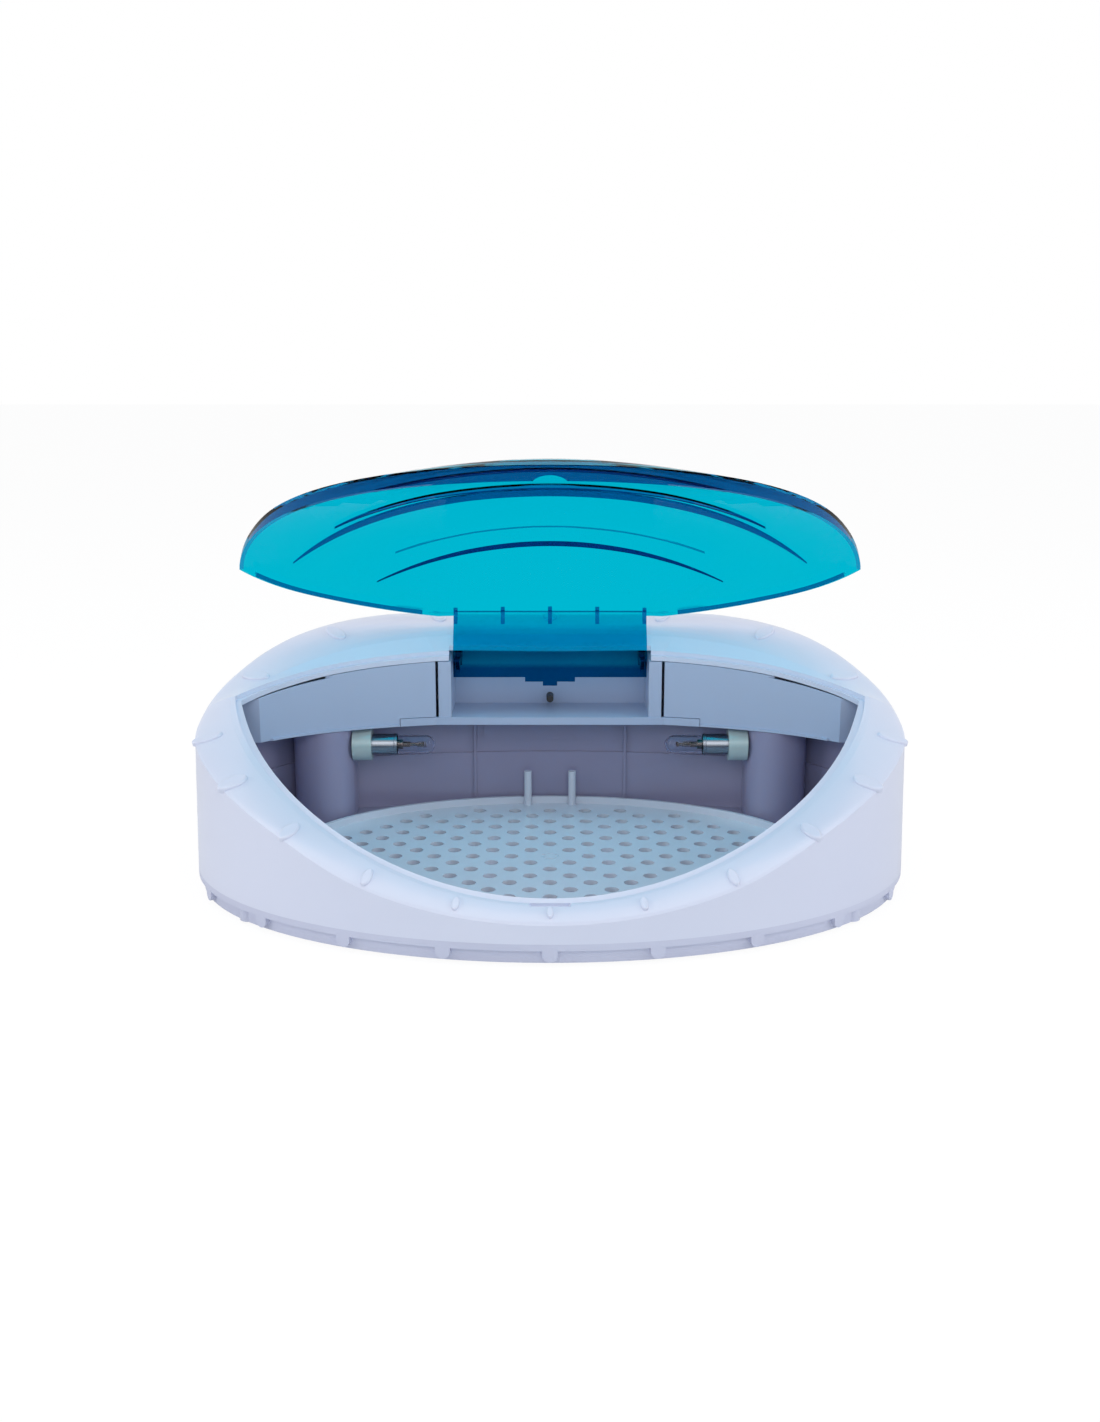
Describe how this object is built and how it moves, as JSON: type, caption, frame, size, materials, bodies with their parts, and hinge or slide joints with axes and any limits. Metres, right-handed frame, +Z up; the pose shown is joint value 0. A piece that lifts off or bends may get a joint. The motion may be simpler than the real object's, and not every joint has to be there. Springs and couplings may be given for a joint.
{
  "type": "uv tool sterilizer cabinet",
  "caption": "Tabletop ultraviolet cabinet for grooming tools: low oval drum with a perforated tray, two side lamps and a tinted lid that swings up at the back.",
  "frame": {"origin": "On the surface the cabinet stands on, under the centre of the oval drum.", "axes": "+X to the right as seen from the front and the longest way across, +Y to the back where the hinge is, +Z up. The lid is stored open."},
  "size_m": [0.367, 0.254, 0.2224],
  "materials": {
    "housing": "moulded, glossy lavender white",
    "base": "moulded, satin",
    "rubber": "matt",
    "screw": "zinc plated",
    "chamber": "moulded, satin grey blue",
    "tray": "moulded, glossy grey blue",
    "socket": "glazed white",
    "cap": "bright",
    "lamp_glass": "clear",
    "electrode": "drawn wire",
    "wire": "insulated",
    "pin": "ground",
    "switch": "black, fine texture",
    "lid": "clear moulded, tinted blue green",
    "board": "lacquered laminate",
    "core": "varnished laminations",
    "copper": "enamelled copper",
    "capacitor": "sleeved can",
    "relay": "moulded",
    "terminal": "moulded",
    "fuse": "plated caps"
  },
  "bodies": {
    "cabinet": {"upper_housing": "housing", "base_plate": "base", "rubber_feet": "rubber", "base_screws": "screw", "chamber_liner": "chamber", "right_lamp_post": "chamber", "right_lamp_socket": "socket", "right_lamp_cap": "cap", "right_lamp_glass": "lamp_glass", "right_lamp_electrodes": "electrode", "right_lamp_wire": "wire", "right_rear_panel": "chamber", "left_lamp_post": "chamber", "left_lamp_socket": "socket", "left_lamp_cap": "cap", "left_lamp_glass": "lamp_glass", "left_lamp_electrodes": "electrode", "left_lamp_wire": "wire", "left_rear_panel": "chamber", "hinge_bay": "chamber", "hinge_pins": "pin", "interlock_switch": "switch", "power_inlet": "switch", "rocker_frame": "switch", "ballast_board": "board", "board_screws": "screw", "choke_core": "core", "choke_winding": "copper", "capacitors": "capacitor", "starter_relay": "relay", "terminal_block": "terminal", "fuse": "fuse", "power_wires": "wire"},
    "lid": {"lid": "lid"},
    "tray": {"perforated_tray": "tray"},
    "plunger": {"interlock_plunger": "switch"},
    "rocker": {"power_rocker": "switch"}
  },
  "joints": [
    {"name": "lid_hinge", "type": "hinge", "parent": "cabinet", "child": "lid", "pos_m": [0, 0.088, 0.102], "axis": [-1, 0, 0], "range_deg": [-52, 0]},
    {"name": "tray_lift", "type": "slide", "parent": "cabinet", "child": "tray", "axis": [0, 0, 1], "range_m": [0, 0.018]},
    {"name": "interlock_press", "type": "slide", "parent": "cabinet", "child": "plunger", "axis": [0, 1, 0], "range_m": [0, 0.0025], "stiffness_N_per_m": 150},
    {"name": "rocker_tilt", "type": "hinge", "parent": "cabinet", "child": "rocker", "pos_m": [0.0155, 0.1183, 0.033], "axis": [0, 0, -1], "range_deg": [0, 16]}
  ]
}
